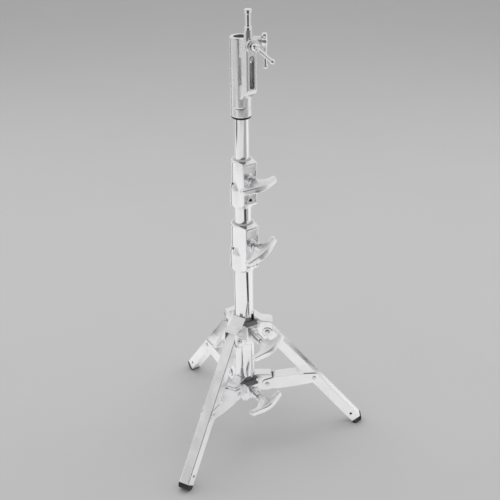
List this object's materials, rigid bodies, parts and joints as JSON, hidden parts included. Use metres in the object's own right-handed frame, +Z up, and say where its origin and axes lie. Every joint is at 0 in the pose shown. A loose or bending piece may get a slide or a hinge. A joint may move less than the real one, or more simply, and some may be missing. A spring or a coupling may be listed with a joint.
{
  "type": "low light stand",
  "caption": "Low chromed light stand: folding square-leg tripod on a sliding collar, telescoping column with wing-handle clamps, and a head with a large socket and a small sliding spigot.",
  "frame": {"origin": "on the floor under the column's axis", "axes": "+Z up along the column, +X out along the right-hand leg"},
  "size_m": [0.4441, 0.5128, 1.0365],
  "materials": {
    "tube_chrome": "polished chrome on drawn tube",
    "leg_chrome": "satin chrome on square tube",
    "brace_chrome": "chrome on folded sheet",
    "cast_chrome": "chrome on a die casting",
    "handle_chrome": "chrome on a die casting",
    "head_chrome": "satin chrome on a casting",
    "lever_chrome": "polished chrome",
    "spigot_chrome": "polished chrome on turned steel",
    "screw_steel": "turned, zinc plated",
    "bolt_steel": "bright plated",
    "pad_brass": "machined",
    "foot_rubber": "matt",
    "gasket_rubber": "matt",
    "bush_nylon": "moulded nylon"
  },
  "bodies": {
    "base": {"base_tube": "tube_chrome", "base_end_plug": "cast_chrome", "brace_collar": "cast_chrome", "brace_pins": "bolt_steel", "brace_clamp_pad": "pad_brass", "lower_collar": "cast_chrome", "lower_collar_bush": "bush_nylon", "lower_collar_fixing_screw": "screw_steel", "lower_clamp_pad": "pad_brass"},
    "brace_handle": {"brace_t_handle": "handle_chrome", "brace_clamp_screw": "screw_steel"},
    "leg_carrier": {"leg_collar": "cast_chrome", "leg_bolts": "bolt_steel", "leg_clamp_pad": "pad_brass"},
    "leg_handle": {"leg_t_handle": "handle_chrome", "leg_clamp_screw": "screw_steel"},
    "right_leg_arm": {"right_leg": "leg_chrome", "right_foot": "foot_rubber"},
    "right_brace_arm": {"right_brace": "brace_chrome", "right_brace_rivets": "bolt_steel"},
    "rear_leg_arm": {"rear_leg": "leg_chrome", "rear_foot": "foot_rubber"},
    "rear_brace_arm": {"rear_brace": "brace_chrome", "rear_brace_rivets": "bolt_steel"},
    "front_leg_arm": {"front_leg": "leg_chrome", "front_foot": "foot_rubber"},
    "front_brace_arm": {"front_brace": "brace_chrome", "front_brace_rivets": "bolt_steel"},
    "lower_handle": {"lower_t_handle": "handle_chrome", "lower_clamp_screw": "screw_steel"},
    "middle_riser": {"middle_tube": "tube_chrome", "middle_slider": "bush_nylon", "upper_collar": "cast_chrome", "upper_collar_bush": "bush_nylon", "upper_collar_fixing_screw": "screw_steel", "upper_clamp_pad": "pad_brass"},
    "upper_handle": {"upper_t_handle": "handle_chrome", "upper_clamp_screw": "screw_steel"},
    "top_riser": {"top_tube": "tube_chrome", "top_slider": "bush_nylon", "head": "head_chrome", "head_gasket": "gasket_rubber", "head_pin": "screw_steel"},
    "socket_clamp": {"socket_lever": "lever_chrome", "socket_lever_screw": "screw_steel"},
    "spigot_clamp": {"spigot_lever": "lever_chrome", "spigot_lever_screw": "screw_steel"},
    "spigot_slider": {"spigot": "spigot_chrome", "spigot_peg": "screw_steel"}
  },
  "joints": [
    {"name": "brace_handle_turn", "type": "hinge", "parent": "base", "child": "brace_handle", "pos_m": [0.03, -0.05196, 0.11987], "axis": [0.5, -0.866, 0], "range_deg": [-30, 360]},
    {"name": "leg_collar_slide", "type": "slide", "parent": "base", "child": "leg_carrier", "axis": [0, 0, 1], "range_m": [0, 0.105]},
    {"name": "leg_handle_turn", "type": "hinge", "parent": "leg_carrier", "child": "leg_handle", "pos_m": [0.03, -0.05196, 0.28387], "axis": [0.5, -0.866, 0], "range_deg": [-30, 360]},
    {"name": "right_leg_swing", "type": "hinge", "parent": "leg_carrier", "child": "right_leg_arm", "pos_m": [0.054, 0, 0.27787], "axis": [0, 1, 0], "range_deg": [0, 15.39]},
    {"name": "right_brace_swing", "type": "hinge", "parent": "base", "child": "right_brace_arm", "pos_m": [0.054, 0, 0.12587], "axis": [0, -1, 0], "range_deg": [0, 43.73]},
    {"name": "rear_leg_swing", "type": "hinge", "parent": "leg_carrier", "child": "rear_leg_arm", "pos_m": [-0.027, 0.04677, 0.27787], "axis": [-0.866, -0.5, 0], "range_deg": [0, 15.39]},
    {"name": "rear_brace_swing", "type": "hinge", "parent": "base", "child": "rear_brace_arm", "pos_m": [-0.027, 0.04677, 0.12587], "axis": [0.866, 0.5, 0], "range_deg": [0, 43.73]},
    {"name": "front_leg_swing", "type": "hinge", "parent": "leg_carrier", "child": "front_leg_arm", "pos_m": [-0.027, -0.04677, 0.27787], "axis": [0.866, -0.5, 0], "range_deg": [0, 15.39]},
    {"name": "front_brace_swing", "type": "hinge", "parent": "base", "child": "front_brace_arm", "pos_m": [-0.027, -0.04677, 0.12587], "axis": [-0.866, 0.5, 0], "range_deg": [0, 43.73]},
    {"name": "lower_handle_turn", "type": "hinge", "parent": "base", "child": "lower_handle", "pos_m": [0.03268, -0.05032, 0.51537], "axis": [0.5446, -0.8387, 0], "range_deg": [-30, 360]},
    {"name": "middle_riser_slide", "type": "slide", "parent": "base", "child": "middle_riser", "axis": [0, 0, 1], "range_m": [-0.036, 0.22]},
    {"name": "upper_handle_turn", "type": "hinge", "parent": "middle_riser", "child": "upper_handle", "pos_m": [0.03, -0.05196, 0.67237], "axis": [0.5, -0.866, 0], "range_deg": [-30, 360]},
    {"name": "top_riser_slide", "type": "slide", "parent": "middle_riser", "child": "top_riser", "axis": [0, 0, 1], "range_m": [-0.085, 0.25]},
    {"name": "socket_lever_turn", "type": "hinge", "parent": "top_riser", "child": "socket_clamp", "pos_m": [0.04489, -0.00314, 0.96537], "axis": [0.9976, -0.0698, 0], "range_deg": [-20, 160]},
    {"name": "spigot_lever_turn", "type": "hinge", "parent": "top_riser", "child": "spigot_clamp", "pos_m": [0.0265, -0.0424, 0.96537], "axis": [0.5299, -0.848, 0], "range_deg": [-120, 30]},
    {"name": "spigot_slide", "type": "slide", "parent": "top_riser", "child": "spigot_slider", "axis": [0, 0, 1], "range_m": [-0.052, 0]}
  ],
  "couplings": [
    {"joint": "right_leg_swing", "follows": "leg_collar_slide", "rad_per_m": 2.55},
    {"joint": "right_brace_swing", "follows": "leg_collar_slide", "rad_per_m": 7.26},
    {"joint": "rear_leg_swing", "follows": "leg_collar_slide", "rad_per_m": 2.55},
    {"joint": "rear_brace_swing", "follows": "leg_collar_slide", "rad_per_m": 7.26},
    {"joint": "front_leg_swing", "follows": "leg_collar_slide", "rad_per_m": 2.55},
    {"joint": "front_brace_swing", "follows": "leg_collar_slide", "rad_per_m": 7.26}
  ]
}
